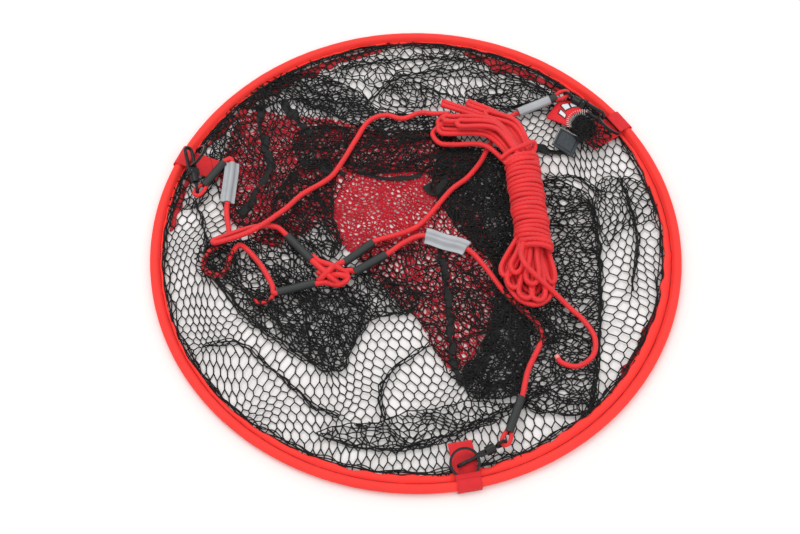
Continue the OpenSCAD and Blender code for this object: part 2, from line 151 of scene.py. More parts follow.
# ---- meshes
def build(name, verts, faces, mat, uv):
    mesh = bpy.data.meshes.new(name)
    mesh.from_pydata((np.asarray(verts, float) * MM).tolist(), [], [list(f) for f in faces])
    mesh.uv_layers.new(name="UV").data.foreach_set("uv", np.asarray(uv, np.float32).ravel())
    mesh.materials.append(mat)
    mesh.polygons.foreach_set("use_smooth", [True] * len(mesh.polygons))
    mesh.update()
    obj = bpy.data.objects.new(name, mesh)
    scene.collection.objects.link(obj)
    return obj


def run_of(line):
    """Length along a line up to each of its points."""
    return np.concatenate([[0], np.cumsum(np.linalg.norm(np.diff(line, axis=0), axis=1))])


def along(line, at):
    """Points of a line at the given lengths along it."""
    return np.stack([np.interp(at, run_of(line), line[:, k]) for k in range(line.shape[1])], 1)


def resample(points, step):
    p = np.asarray(points, float)
    length = run_of(p)[-1]
    return along(p, np.linspace(0, length, max(int(length / step), 2) + 1))


def spline(points, step=1.5, closed=False):
    """A Catmull-Rom curve through the points, evenly spaced."""
    p = np.asarray(points, float)
    if closed:
        p = np.vstack([p[-1:], p, p[:2]])
    else:
        p = np.vstack([2 * p[:1] - p[1:2], p, 2 * p[-1:] - p[-2:-1]])
    t = np.linspace(0, 1, 20, endpoint=False)[:, None]
    out = []
    for a, b, c, d in zip(p, p[1:], p[2:], p[3:]):
        out.append(0.5 * (2 * b + (c - a) * t + (2 * a - 5 * b + 4 * c - d) * t**2
                          + (3 * b - a - 3 * c + d) * t**3))
    out.append(p[-2:-1])
    return resample(np.vstack(out), step)


def unit(v):
    return v / np.maximum(np.linalg.norm(v, axis=-1, keepdims=True), 1e-9)


def wrapped(rows, n, m):
    """Quads between neighbouring rings of a tube that has n rings of m points."""
    i, j = np.meshgrid(np.arange(rows), np.arange(m), indexing="ij")
    i2, j2 = (i + 1) % n, (j + 1) % m
    return np.stack([i * m + j, i * m + j2, i2 * m + j2, i2 * m + j], -1).reshape(-1, 4)


# Order of a quad's corners that turns its face the other way
OUTWARD = [0, 3, 2, 1]


def no_uv(faces):
    return np.zeros((sum(map(len, faces)), 2))


def sweep(path, profile, up=None, closed=False):
    """A closed solid along a path. profile is (side, up) pairs, for all rings or for each ring."""
    p = np.asarray(path, float)
    n = len(p)
    tangent = unit(np.roll(p, -1, 0) - np.roll(p, 1, 0) if closed else np.gradient(p, axis=0))
    if up is None:
        side = np.zeros((n, 3))
        s = np.cross(tangent[0], [0.01, 0.02, 1])
        for k in range(n):
            s = unit(s - tangent[k] * (s @ tangent[k]))
            side[k] = s
    else:
        side = unit(np.cross(tangent, np.broadcast_to(up, (n, 3))))
    above = np.cross(side, tangent)
    prof = np.broadcast_to(np.asarray(profile, float), (n,) + np.shape(profile)[-2:])
    m = prof.shape[1]
    verts = (p[:, None] + side[:, None] * prof[..., :1] + above[:, None] * prof[..., 1:]).reshape(-1, 3)
    rows = n if closed else n - 1
    i, j = np.meshgrid(np.arange(rows), np.arange(m), indexing="ij")
    faces = wrapped(rows, n, m).tolist()
    step = np.linalg.norm(p[1] - p[0])
    around = run_of(np.vstack([prof[0], prof[0][:1]]))
    u, v = i * step, around[j]
    u2, v2 = (i + 1) * step, around[j + 1]
    uv = np.stack([u, v, u, v2, u2, v2, u2, v], -1).reshape(-1, 2)
    if not closed:
        faces += [list(range(m))[::-1], list(range((n - 1) * m, n * m))]
        uv = np.vstack([uv, np.zeros((2 * m, 2))])
    return verts, faces, uv


def circle(count, r=1.0):
    """Evenly spaced points on a circle, from +X round to +Y."""
    a = np.arange(count) / count * TAU
    return np.stack([r * np.cos(a), r * np.sin(a)], 1)


def joined(parts):
    verts, faces, uvs, base = [], [], [], 0
    for v, f, uv in parts:
        verts.append(v)
        faces += [[k + base for k in face] for face in f]
        uvs.append(uv)
        base += len(v)
    return np.vstack(verts), faces, np.vstack(uvs)


def piece(name, parts, mat, slot, nodes=()):
    """One visible piece made of closed parts. nodes are the CAD nodes it stands for."""
    verts, faces, uv = joined(parts)
    obj = build(name, verts, faces, mat, uv)
    if nodes:
        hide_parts(*nodes)
    return obj


def rigid(body, *about):
    """A piece that rides on one body."""
    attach(piece(*about), body)


def cord(path, r, sides=12):
    """Braided cord: the sheath's strands stand out as low crossing ridges."""
    n = len(path)
    step = np.linalg.norm(path[1] - path[0])
    a = np.arange(sides) / sides * TAU
    run = np.arange(n)[:, None] * step / 5.5 * TAU
    ridge = 1 + 0.045 * np.sin(run + 3 * a) * np.sin(run - 3 * a)
    prof = np.stack([r * ridge * np.cos(a), r * ridge * np.sin(a)], -1)
    return sweep(path, prof)


def ribbon(path, side, width, thick, bulge=0.0):
    """Flat webbing along a path; side is the direction across it."""
    p = np.asarray(path, float)
    across = np.broadcast_to(np.asarray(side, float), p.shape)
    tangent = unit(np.gradient(p, axis=0))
    up = np.cross(across, tangent)
    w, t, c = width / 2, thick / 2, min(thick, 0.5) / 2
    xs = np.linspace(-1, 1, 7)
    top = [(x * (w - c), t + bulge * (1 - x * x)) for x in xs]
    bottom = [(x * (w - c), -t + bulge * (1 - x * x)) for x in xs[::-1]]
    prof = top + [(w, t - c), (w, c - t)] + bottom + [(-w, c - t), (-w, t - c)]
    return sweep(p, prof, up)


def rods(a, b, r, sides=3):
    """Closed prisms from each point of a to each point of b."""
    a, b = np.asarray(a, float), np.asarray(b, float)
    d = unit(b - a)
    s = unit(np.cross(d, [0.013, 0.021, 1.0]))
    h = np.cross(s, d)
    turn = np.arange(sides) / sides * TAU + TAU / 4
    rr = np.broadcast_to(np.asarray(r, float), (len(a),))[:, None, None]
    ring = rr * (s[:, None] * np.cos(turn)[:, None] + h[:, None] * np.sin(turn)[:, None])
    e = rr * 0.3 * d[:, None]
    verts = np.concatenate([a[:, None] + ring - e, b[:, None] + ring + e], 1)
    verts = verts.reshape(-1, 3)
    base = np.arange(len(a))[:, None] * 2 * sides
    faces = []
    for k in range(sides):
        k2 = (k + 1) % sides
        faces += (base + [k, k2, sides + k2, sides + k]).tolist()
    faces += (base + list(range(sides))[::-1]).tolist()
    faces += (base + list(range(sides, 2 * sides))).tolist()
    return verts, faces, no_uv(faces)


def ripple(p, wave, seed, count=6):
    """Smooth noise of about unit size over the plan."""
    draw = np.random.default_rng(seed)
    out = np.zeros(len(p))
    for _ in range(count):
        a, phase, w = draw.uniform(0, TAU), draw.uniform(0, TAU), wave * draw.uniform(0.7, 1.6)
        out += np.sin(TAU * (p[:, 0] * math.cos(a) + p[:, 1] * math.sin(a)) / w + phase)
    return out / math.sqrt(count / 2)


def inside(points, polygon):
    x, y = points[:, 0], points[:, 1]
    hit = np.zeros(len(points), bool)
    for (x1, y1), (x2, y2) in zip(polygon, list(polygon[1:]) + [polygon[0]]):
        over = (y1 > y) != (y2 > y)
        hit ^= over & (x < (x2 - x1) * (y - y1) / ((y2 - y1) or 1e-9) + x1)
    return hit


def pull(p, lines, reach, share):
    """Gathers points towards each line, as a pleat does."""
    for line in lines:
        line = np.asarray(line, float)
        best, vec = np.full(len(p), 1e9), np.zeros_like(p)
        for a, b in zip(line, line[1:]):
            t = np.clip(((p - a) @ (b - a)) / ((b - a) @ (b - a)), 0, 1)[:, None]
            v = a + t * (b - a) - p
            d = np.linalg.norm(v, axis=1)
            near = d < best
            best[near], vec[near] = d[near], v[near]
        p = p + vec * (share * np.exp(-((best / reach) ** 2)))[:, None]
    return p


# ---- net
def polar(r, a, z):
    """Points at radius r and angle a round the hoop's centre."""
    return np.stack([r * np.cos(a), r * np.sin(a), z + np.zeros_like(a)], -1)


def rounded(polygon, step=4.0):
    """A smooth outline through the corners of a polygon."""
    return spline([(x, y, 0) for x, y in polygon], step, closed=True)[:-1, :2]


def hem_edge(a):
    """Radius of the hem's inner edge at an angle; the net hides part of it."""
    at = np.radians([-180, -150, -132, -115, -90, -40, -10, 12, 35, 60, 100, 140, 180])
    return np.interp(a, at, [286.4, 285.6, 283.0, 279.8, 278.6, 277.6, 279.5, 281.5, 284.4, 286.0, 286.2,
                             286.6, 286.4])


def covered(points, outline, hole):
    angle = np.arctan2(points[:, 1], points[:, 0])
    hit = inside(points, outline) & (np.linalg.norm(points, axis=1) < hem_edge(angle) + ONTO_HEM)
    return hit if hole is None else hit & ~inside(points, hole)


def hex_net(polygon, cell, angle, gather=1.0, fold=0.0, wave=40.0, warp=5.0, warp_wave=70.0,
            seed=0, low=1.5, high=3.5, lines=(), hole=None):
    """Strands of a net laid over an outline: (start points, end points). Cut strands end on the outline."""
    outline = rounded(polygon)
    centre = (outline.min(0) + outline.max(0)) / 2
    half = np.linalg.norm(outline.max(0) - outline.min(0)) / 2 + 12
    row, zig = cell * ROW_PITCH, cell * ZIGZAG
    nu = int(2 * half / gather / (cell / 2)) + 2
    nv = int(2 * half / row) + 2
    i, j = np.meshgrid(np.arange(nu), np.arange(nv), indexing="ij")
    s = (i - nu / 2) * cell / 2
    v = (j - nv / 2) * row + np.where((i + j) % 2 == 0, zig, -zig)
    flat = np.stack([s.ravel(), v.ravel()], 1)
    drift = ripple(flat, wave * 2.5, seed + 5)
    phase = TAU * flat[:, 0] / wave + 1.3 * drift
    x = gather * flat[:, 0] + fold * np.sin(phase)
    a = math.radians(angle)
    p = np.stack([x * math.cos(a) - flat[:, 1] * math.sin(a),
                  x * math.sin(a) + flat[:, 1] * math.cos(a)], 1) + centre
    p = p + warp * np.stack([ripple(p, warp_wave, seed + 1), ripple(p, warp_wave, seed + 2)], 1)
    if lines:
        p = pull(p, lines, PLEAT_REACH, PLEAT_SHARE)
    z = low + (high - low) * (0.5 + 0.25 * ripple(p, 45.0, seed + 3) + 0.25 * np.cos(phase))
    q = np.column_stack([p, np.clip(z, low * 0.6, high * 1.3)])
    k = i * nv + j
    rows = np.stack([k[:-1].ravel(), k[1:].ravel()], 1)
    links = np.stack([k[:, :-1].ravel(), k[:, 1:].ravel()], 1)
    pairs = np.vstack([rows, links[((i + j)[:, :-1].ravel() % 2) == 0]])
    hit = covered(p, outline, hole)
    pairs = pairs[hit[pairs[:, 0]] | hit[pairs[:, 1]]]
    flip = ~hit[pairs[:, 0]]
    pairs[flip] = pairs[flip][:, ::-1]
    start, end = q[pairs[:, 0]], q[pairs[:, 1]].copy()
    cut = np.flatnonzero(~hit[pairs[:, 1]])
    near, far = start[cut], end[cut]
    for _ in range(5):
        middle = (near + far) / 2
        hit = covered(middle[:, :2], outline, hole)[:, None]
        near, far = np.where(hit, middle, near), np.where(hit, far, middle)
    end[cut] = near
    keep = np.linalg.norm(end - start, axis=1) > SHORTEST
    return start[keep], end[keep]


def trail(points, z, wander, seed, wave=26.0):
    """A line of strands along a path on the net: (start points, end points)."""
    path = np.column_stack([points, np.full(len(points), z)])
    path[:, 0] += wander * ripple(path[:, :2], wave, seed)
    path[:, 1] += wander * ripple(path[:, :2], wave, seed + 1)
    path[:, 2] += 0.4 * ripple(path[:, :2], wave, seed + 2)
    angle = np.arctan2(path[:, 1], path[:, 0])
    within = np.linalg.norm(path[:, :2], axis=1) < hem_edge(angle) + 0.5
    keep = within[:-1] & within[1:]
    return path[:-1][keep], path[1:][keep]


def sector_of(mid):
    """The wall panel each point lies in. The panels join the floor's outline to the rim."""
    t = (mid[:, :2] @ WALL_OUT.T - WALL_FOOT) / (WALL_TOP_R - WALL_FOOT)
    return np.argmax(t, 1), t.max(1)


def blend_wall(obj):
    """Bakes a wall piece's placement into its mesh."""
    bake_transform(obj)


CIRCLE = circle(72, 292)
RED_OPEN = [(-97, 42), (-88, 72), (-68, 96), (0, 100), (14, 92), (22, 60), (14, 24), (0, 2),
            (-40, -12), (-75, -8)]
PLEATS = [
    [(-225, -45), (-190, -90), (-150, -125), (-95, -158)],
    [(-232, -128), (-196, -122), (-160, -152), (-110, -198), (-84, -212)],
    [(15, -125), (-25, -155), (-38, -185), (-36, -215)],
    [(-100, -234), (-40, -250), (20, -238), (90, -206), (140, -180)],
    [(150, 92), (190, 90), (215, 70)],
    [(203, 55), (207, 0), (205, -80), (196, -150), (186, -205)],
    [(240, 90), (252, 10), (240, -60)],
    [(-60, 195), (-20, 236), (40, 246), (110, 240), (160, 215)],
    [(-90, 250), (0, 264), (80, 262)],
    [(-255, 60), (-240, 20), (-235, -40)],
]
CENTRE_RIGHT = [(22, 100), (40, 130), (104, 128), (120, 100), (116, 40), (114, -60), (124, -110),
                (112, -182), (60, -188), (50, -160), (66, -140), (83, -96), (90, -50), (82, -16),
                (62, 8), (38, 40), (24, 70)]
RIGHT_BLOCK = [(146, 84), (188, 76), (203, 54), (206, -20), (204, -90), (197, -150), (188, -203),
               (150, -208), (108, -186), (104, -60), (118, -50), (146, -60), (150, 20)]
LEFT_FOLD = [(-238, -8), (-202, -72), (-152, -118), (-86, -158), (-72, -132), (-48, -94), (-8, -86),
             (0, -64), (-30, -46), (-60, -35), (-100, -20), (-140, 15), (-200, 5)]
LEFT_CORE = [(-156, -30), (-152, -104), (-88, -155), (-62, -104), (-56, -62), (-100, -62)]
UPPER_BAND = [(-218, 205), (-196, 234), (-160, 240), (-110, 234), (-72, 216), (-48, 190),
              (-20, 182), (30, 176), (30, 150), (-40, 150), (-100, 182), (-150, 200), (-190, 188)]
RED_ARC = [(-130, 106), (-92, 112), (-62, 96), (0, 101), (24, 94), (60, 112), (42, 150), (0, 156),
           (-50, 152), (-100, 164), (-142, 150)]
LEFT_MID = [(-162, 60), (-132, 110), (-98, 110), (-95, 40), (-85, 0), (-100, -15), (-140, 20),
            (-160, 20)]
UPPER_LEFT = [(-238, 110), (-228, 190), (-196, 214), (-150, 205), (-100, 190), (-130, 110),
              (-160, 60), (-158, 20), (-205, 30), (-222, 60)]
FRONT_PLEAT = [(-104, -230), (-60, -246), (0, -250), (60, -228), (112, -200), (60, -196),
               (0, -206), (-42, -216)]
TOP_BLOB = [(-42, 200), (-25, 226), (0, 230), (20, 216), (30, 200), (0, 190)]
TOP_RIGHT = [(60, 214), (110, 226), (152, 215), (162, 190), (120, 182), (80, 198)]
RED_LOW = [(-62, -2), (0, 0), (30, -4), (60, 2), (96, -30), (98, -80), (80, -132), (54, -174),
           (30, -150), (0, -92), (-40, -60)]
BACK_SHEET = [(-200, 208), (-130, 258), (-40, 284), (60, 285), (150, 247), (205, 200), (228, 172),
              (196, 176), (150, 196), (110, 190), (60, 196), (20, 216), (-30, 214), (-80, 232),
              (-140, 232)]
LEFT_SHEET = [(-284, 52), (-276, 84), (-250, 138), (-222, 180), (-206, 150), (-230, 90), (-250, 52)]
LOW_PLEAT = [(44, -42), (94, -30), (99, -72), (84, -106), (48, -92)]
CENTRE_DARK = [(40, 56), (58, 106), (106, 122), (118, 60), (116, -30), (98, -34), (84, -12), (62, 14)]
RIGHT_SHEET = [(206, 60), (220, 90), (262, 84), (276, 40), (256, 30), (232, 20), (214, 0)]

LAYERS = [
    # outline, cell, angle, gather, fold, wave, warp, warp's wave, low, high, how many
    (CENTRE_RIGHT, 7.6, 75, 0.72, 2.5, 42, 2.5, 34, 2, 6, 3),
    (RIGHT_BLOCK, 9, 82, 0.78, 2.5, 44, 2.5, 34, 2, 5.5, 2),
    (LEFT_FOLD, 9.2, 35, 0.84, 2.5, 40, 2.5, 34, 2, 5.5, 2),
    (LEFT_CORE, 9, 50, 0.8, 2.5, 36, 2.5, 30, 2.5, 6, 1),
    (UPPER_BAND, 8, 70, 0.72, 2.5, 36, 2.5, 30, 2, 6, 2),
    (RED_ARC, 8, 100, 0.76, 2.5, 36, 2.5, 30, 3, 6, 2),
    (LEFT_MID, 8, 10, 0.76, 2.5, 34, 2.5, 30, 3, 6, 2),
    (UPPER_LEFT, 8.8, 15, 0.85, 2, 40, 2.5, 34, 3, 5.5, 1),
    (FRONT_PLEAT, 8.6, 80, 0.72, 3, 40, 2.5, 34, 2, 5, 1),
    (TOP_BLOB, 8.2, 20, 0.75, 3, 30, 2.5, 30, 2, 5, 1),
    (TOP_RIGHT, 8.6, 110, 0.8, 3, 40, 2.5, 34, 2, 5, 1),
    (RED_LOW, 9.6, 85, 0.9, 2.5, 40, 2.5, 34, 3, 5.5, 1),
    (BACK_SHEET, 11.4, 78, 0.95, 3, 46, 3.5, 60, 2.4, 5.6, 1),
    (LEFT_SHEET, 9.6, 150, 0.85, 2, 46, 3.5, 60, 2.4, 5.2, 1),
    (RIGHT_SHEET, 9.6, 165, 0.9, 2, 60, 3.5, 80, 2.4, 5, 1),
    (LOW_PLEAT, 8.8, 40, 0.85, 2.5, 36, 2.5, 30, 3, 5.5, 1),
    (CENTRE_DARK, 7.8, 20, 0.75, 2.5, 40, 2.5, 34, 2.4, 6, 1),
]
# Where the net lies over a cord: outline, rise over the cord, the cord's line below it
OVER_CORDS = [
    ([(-246, -4), (-222, 11), (-203, 0), (-202, -42), (-232, -46), (-247, -30)], 6.0,
     [(-217, 3), (-236, -13), (-236, -34), (-216, -38), (-208, -14)]),
    ([(100, -56), (124, -60), (152, -98), (154, -126), (132, -130), (118, -96), (98, -74)], 7.5,
     [(103, -64), (118, -82), (131, -98), (138, -116)]),
    ([(-186, -60), (-156, -60), (-154, -82), (-186, -84)], 3.0, [(-160, -68), (-175, -74), (-179, -69)]),
]
HEM_TURNS = 4


def copies(layer, seed, turn, rise):
    """The nets of one layer, each turned and a little above the one before."""
    outline, cell, angle, gather, fold, wave, warp, warp_wave, low, high, count = layer
    return [hex_net(outline, cell, angle + turn * n, gather, fold, wave, warp, warp_wave, seed + n,
                    low + rise * n, high + rise * n) for n in range(count)]


def strands(nets):
    """All the start points and all the end points of some nets."""
    return [np.vstack(side) for side in zip(*nets)]


def plan_line(points, step):
    return spline([(x, y, 0) for x, y in points], step)[:, :2]


black = [hex_net(CIRCLE, 9.2, 8, warp=5.0, warp_wave=110, seed=3, low=1.6, high=4.0,
                 lines=PLEATS, hole=RED_OPEN)]
for number, layer in enumerate(LAYERS):
    black += copies(layer, 100 + 17 * number, 31, 0.4)
    edge = rounded(layer[0])
    edge = np.vstack([edge, edge[:1]])
    high, count = layer[-2:]
    black += [trail(edge, high, 1.2, 700 + 5 * number + n) for n in range(min(count, 2))]
for number, pleat in enumerate(PLEATS):
    black += [trail(plan_line(pleat, 5) + [0, 1.6 * (n - 1)], 3.8 + 0.5 * n, 1.5, 800 + 5 * number + n)
              for n in range(3)]
around = np.linspace(-math.pi, math.pi, 430)
for n in range(HEM_TURNS):
    r = hem_edge(around) - 0.6 - 1.2 * n
    black.append(trail(polar(r, around, 0)[:, :2], 4.2, 0.5 + 0.5 * n, 860 + 3 * n, 40))
for number, (outline, rise, below) in enumerate(OVER_CORDS):
    line = plan_line(below, 2)
    for n in range(2):
        drape = hex_net(outline, 8.6, 20 + 50 * n, warp=2.5, warp_wave=34, seed=940 + 7 * number + n,
                        low=3.6, high=5.0)
        for ends in drape:
            gap = np.linalg.norm(ends[:, None, :2] - line, axis=2).min(1)
            ends[:, 2] += rise * np.clip((15 - gap) / 8, 0, 1)
        black.append(drape)
starts, ends = strands(black)
which, _ = sector_of((starts + ends) / 2)
for k in range(SECTORS):
    mine = which == k
    wall = piece(f"net_wall_{k:02d}", [rods(starts[mine], ends[mine], STRAND_R)], NET_BLACK, "black_net",
                 ("net_wall",))
    blend_wall(wall)

# Fine red mesh of the bag's floor, in folded layers
RED_BASE = [(-108, 40), (-80, 104), (30, 106), (62, 60), (86, 8), (93, -60), (82, -108), (50, -154),
            (30, -148), (2, -94), (-20, -72), (-62, -22)]
RED_UPPER = [(-226, 96), (-216, 160), (-190, 186), (-150, 180), (-100, 176), (-40, 160), (40, 150),
             (80, 110), (60, 96), (-80, 98), (-104, 40), (-158, 0), (-200, 24), (-222, 55)]
RED_LAYERS = [
    (RED_BASE, 6.4, 12, 1.0, 0, 40, 2.0, 34, 0.9, 2.4, 2),
    (RED_OPEN, 6.0, 86, 1.0, 0, 40, 2.0, 34, 0.9, 2.4, 1),
    (RED_UPPER, 6.4, 60, 0.85, 2, 40, 2.0, 34, 0.9, 2.6, 2),
]
starts, ends = strands([net for number, layer in enumerate(RED_LAYERS)
                        for net in copies(layer, 500 + 17 * number, 37, 0)])
which, beyond = sector_of((starts + ends) / 2)
mine = beyond <= 0
rigid("net_floor", "net_floor_mesh", [rods(starts[mine], ends[mine], RED_STRAND_R)], NET_RED, "red_net",
      ("floor_panel",))
# Where it reaches past the floor's outline it is split into a piece for each wall panel
for k in np.unique(which[beyond > 0]):
    mine = (beyond > 0) & (which == k)
    skirt = piece(f"net_floor_skirt_{k:02d}", [rods(starts[mine], ends[mine], RED_STRAND_R)], NET_RED,
                  "red_net", ("floor_panel",))
    blend_wall(skirt)


# ---- seam tapes
# Doubled black bands that lie crumpled on the net. Their section is in half widths across
TAPE_SECTION = np.array([(-1, 0.3), (-0.5, 0.8), (0, 0.55), (0.5, 0.8), (1, 0.3), (1, -0.3), (0.5, -0.5),
                         (0, -0.5), (-0.5, -0.5), (-1, -0.3)])


def tape(points, width, seed, z=3.6):
    """A crumpled tape: its path, its section at each step and its up direction."""
    path = spline([(x, y, z) for x, y in points], 2.0)
    wobble = ripple(path[:, :2], 22, seed)
    path[:, 2] += 0.8 * wobble
    path[:, :2] += 0.8 * np.stack([ripple(path[:, :2], 30, seed + 1), wobble], 1)
    tangent = unit(np.gradient(path, axis=0))
    side = unit(np.cross([0, 0, 1.0], tangent) + 0.35 * wobble[:, None] * [0, 0, 1.0])
    half = width * (1 + 0.18 * ripple(path[:, :2], 26, seed + 2))[:, None] / 2
    section = np.broadcast_to(TAPE_SECTION, (len(path),) + TAPE_SECTION.shape).copy()
    section[..., 0] *= half
    return path, section, np.cross(side, tangent)


def on_floor(mesh):
    """Lifts whatever would dip below the ground."""
    mesh[0][:, 2] = np.maximum(mesh[0][:, 2], 0.3)
    return mesh


# Each tape's line, width and the side it belongs to
TAPES = {
    "left": ([(-187, 196), (-176, 135), (-170, 100), (-200, 40)], 9, "left"),
    "left_upper": ([(-156, 200), (-140, 172), (-122, 152)], 9, "left"),
    "right": ([(28, -4), (35, -60), (41, -150), (50, -174)], 8, "right"),
    "right_lower": ([(101, -74), (82, -130), (54, -174)], 8, "right"),
    "strap_side": ([(134, 131), (150, 131), (166, 129), (182, 124)], 10, "right"),
}
for number, (name, (points, width, side)) in enumerate(TAPES.items()):
    path, prof, up = tape(points, width, 900 + 11 * number)
    which, _ = sector_of(path)
    for k in np.unique(which):
        at = np.flatnonzero(which == k)
        at = np.arange(max(at[0] - 1, 0), at[-1] + 1)
        if len(at) < 3:
            continue
        part = piece(f"seam_tape_{name}_{k:02d}", [on_floor(sweep(path[at], prof[at], up[at]))], TAPE_BLACK,
                     "black_tape", (f"wall_seam_tape_{side}",))
        blend_wall(part)
floor_tapes = []
for number, points in enumerate((
        [(-66, 99), (-40, 92), (-10, 91), (8, 96)],
        [(12, 80), (22, 72), (34, 82), (30, 96)],
        [(-110, 104), (-96, 100), (-84, 94)])):
    path, prof, up = tape(points, 6 + 5 * (number == 1), 960 + 7 * number, 4.4)
    floor_tapes.append(on_floor(sweep(path, prof, up)))
rigid("net_floor", "floor_seam_tape_band", floor_tapes, TAPE_BLACK, "black_tape", ("floor_seam_tape",))


# ---- sleeve
# The tunnel round the hoop with its flat hem inside: radius and height round the section
SLEEVE = np.array([
    (296.4, 0.15), (299.0, 1.6), (299.9, 4.2), (299.6, 7.2), (297.9, 9.4), (295.2, 10.5),
    (292.6, 10.1), (290.6, 8.3), (289.5, 5.6), (288.8, 3.5), (287.9, 3.0), (286.8, 4.3),
    (283.2, 5.0), (280.0, 4.6), (278.0, 3.7), (277.7, 2.9), (279.6, 2.2), (285.0, 1.2), (290.0, 0.3),
])
SEAM_R, HEM_W = 289.0, 11.0
STEPS = 1260
SLEEVE_U, SLEEVE_V = 1.5, 2.0
# The turned-in allowance shows inside the hem in places, in a darker red that is painted shade: from and to
# in degrees, and its depth
ALLOWANCE = ((-42, -14, 9), (50, 78, 14), (98, 152, 10), (158, 176, 6))


def sleeve():
    """The sleeve's surface: puckered along its seam, with a hem of uneven width."""
    turn = np.arange(STEPS) / STEPS * TAU
    rim = polar(RIM_R, turn, 0)[:, :2]
    pucker, slow = ripple(rim, 16, 31)[:, None], ripple(rim, 60, 32)[:, None]
    edge = (ripple(rim, 34, 33) * (0.6 + 0.6 * (np.cos(turn + 0.5) > 0)))[:, None]
    section_r, section_z = SLEEVE.T
    hem = np.clip((SEAM_R - section_r) / HEM_W, 0, 1)
    bead = np.clip((section_r - SEAM_R) / HEM_W, 0, 1) * (section_z > 1)
    narrow = ((SEAM_R - hem_edge((turn + math.pi) % TAU - math.pi)) / HEM_W)[:, None]
    r = np.where(section_r < SEAM_R, SEAM_R - (SEAM_R - section_r) * narrow, section_r)
    r = r + edge * 0.8 * hem + 0.25 * pucker * (hem > 0) * (hem < 0.4)
    z = section_z + slow * 0.5 * hem + 0.22 * pucker * (0.3 + hem) * (section_z > 1)
    z = np.maximum(z - 0.15 * np.abs(slow) * bead, 0.1)
    m = len(SLEEVE)
    faces = wrapped(STEPS, STEPS, m)[:, OUTWARD]
    i, j = np.meshgrid(np.arange(STEPS), np.arange(m), indexing="ij")
    u, v, u2, v2 = i * SLEEVE_U, j * SLEEVE_V, (i + 1) * SLEEVE_U, (j + 1) * SLEEVE_V
    uv = np.stack([u, v, u2, v, u2, v2, u, v2], -1).reshape(-1, 2)
    return polar(r, np.broadcast_to(turn[:, None], r.shape), z).reshape(-1, 3), faces.tolist(), uv


def stitches(r, z, pitch, length, thick):
    count = int(TAU * r / pitch)
    a = np.arange(count) / count * TAU
    return rods(polar(r, a, z), polar(r, a + length / r, z), thick, 4)


def allowance(low, high, depth):
    """A thin strip of fabric inside the hem, deepest at its middle."""
    a = np.radians(np.arange(low, high, 0.35))
    fade = np.sin(np.linspace(0, math.pi, len(a))) ** 0.6
    inner = 279 - depth * fade * (0.75 + 0.25 * ripple(polar(280.0, a, 0)[:, :2], 24, 71))
    outer = np.full(len(a), 281.0)
    middle = 0.5 * (outer + inner)
    r = np.stack([outer, middle, inner, inner, middle, outer], 1)
    n, m = r.shape
    level = np.array([2.1, 1.9, 1.5, 1.0, 1.2, 1.4]) + np.zeros_like(r)
    faces = wrapped(n - 1, n, m)[:, OUTWARD].tolist()
    faces += [list(range(m)), list(range((n - 1) * m, n * m))[::-1]]
    return polar(r, np.broadcast_to(a[:, None], r.shape), level).reshape(-1, 3), faces, no_uv(faces)


rigid("hoop", "rim_sleeve_cover", [sleeve()], SLEEVE_RED, "red_fabric", ("rim_sleeve",))
# The stitches' darker red is partly the thread's colour and partly painted shade of the groove they lie in
rigid("hoop", "sleeve_stitches", [stitches(r=288.5, z=3.7, pitch=4.0, length=3.3, thick=0.5)],
      THREAD_RED_AND_SHADE, "red_thread", ("sleeve_stitching",))
# The allowance's darker red is painted shade
rigid("hoop", "sleeve_allowance", [allowance(*strip) for strip in ALLOWANCE], SLEEVE_PAINTED_SHADE, "red_fabric")

# ---- tabs
# Each tab's angle round the rim, and how far its mouth stands up over its ring
SIDES = {"front": (-79.4, 0.0), "right": (34.5, 2.6), "left": (156.5, 2.6)}
TAB_W, TAB_THICK = 26.0, 1.2
TAB_FLAP = [(246, 5.6), (256, 5.0), (270, 4.9), (280, 5.3), (288, 5.2)]


def tab(name, angle, raised):
    """Webbing folded round the rim. The mouth of the fold stands open over its ring."""
    a = math.radians(angle)
    out, across = np.array([math.cos(a), math.sin(a), 0]), np.array([-math.sin(a), math.cos(a), 0])

    def webbing(section):
        line = spline([out * r + np.array([0, 0, z]) for r, z in section], 1.2)
        return ribbon(line, across, TAB_W, TAB_THICK)

    lip = (290, 11.2 + raised * 0.4)
    wrap = [lip, (292.5, 11.7), (295.5, 11.7), (298.6, 10.5), (300.9, 7.2), (301.4, 3.6), (300.8, 0.8)]
    rigid("hoop", f"tab_{name}_webbing", [webbing(TAB_FLAP), webbing(wrap)], WEB_RED, "red_webbing",
          (f"tab_{name}",))
    mouth = [(283.6, 8.9 + raised), (285, 9.5 + raised), (287.5, 10.2 + raised * 0.8), lip]
    mouth = piece(f"tab_{name}_mouth", [webbing(mouth)], WEB_RED, "red_webbing", (f"tab_{name}",))
    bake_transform(mouth)


for name, (angle, raised) in SIDES.items():
    tab(name, angle, raised)

# ---- bridles
CORD_R, ROPE_R = 3.0, 2.95
CORD_STEP, ROPE_STEP = 1.5, 1.6
KNOT = np.array([-95.0, -50.0, 15.0])
AIM = {"front": KNOT + [5, -5, 0], "right": KNOT + [-2, 7, 0], "left": KNOT, "haul": KNOT}
INTO_TUBE = 16
EYE_END = {"front": (93.1, -245.5, 14.9), "right": (177.8, 201.6, 16.5), "left": (-249.7, 64.7, 13.8)}
TUBE_END = {"front": (114, -187, 9), "right": (148.4, 189.3, 13.3), "left": (-221, 110, 11)}
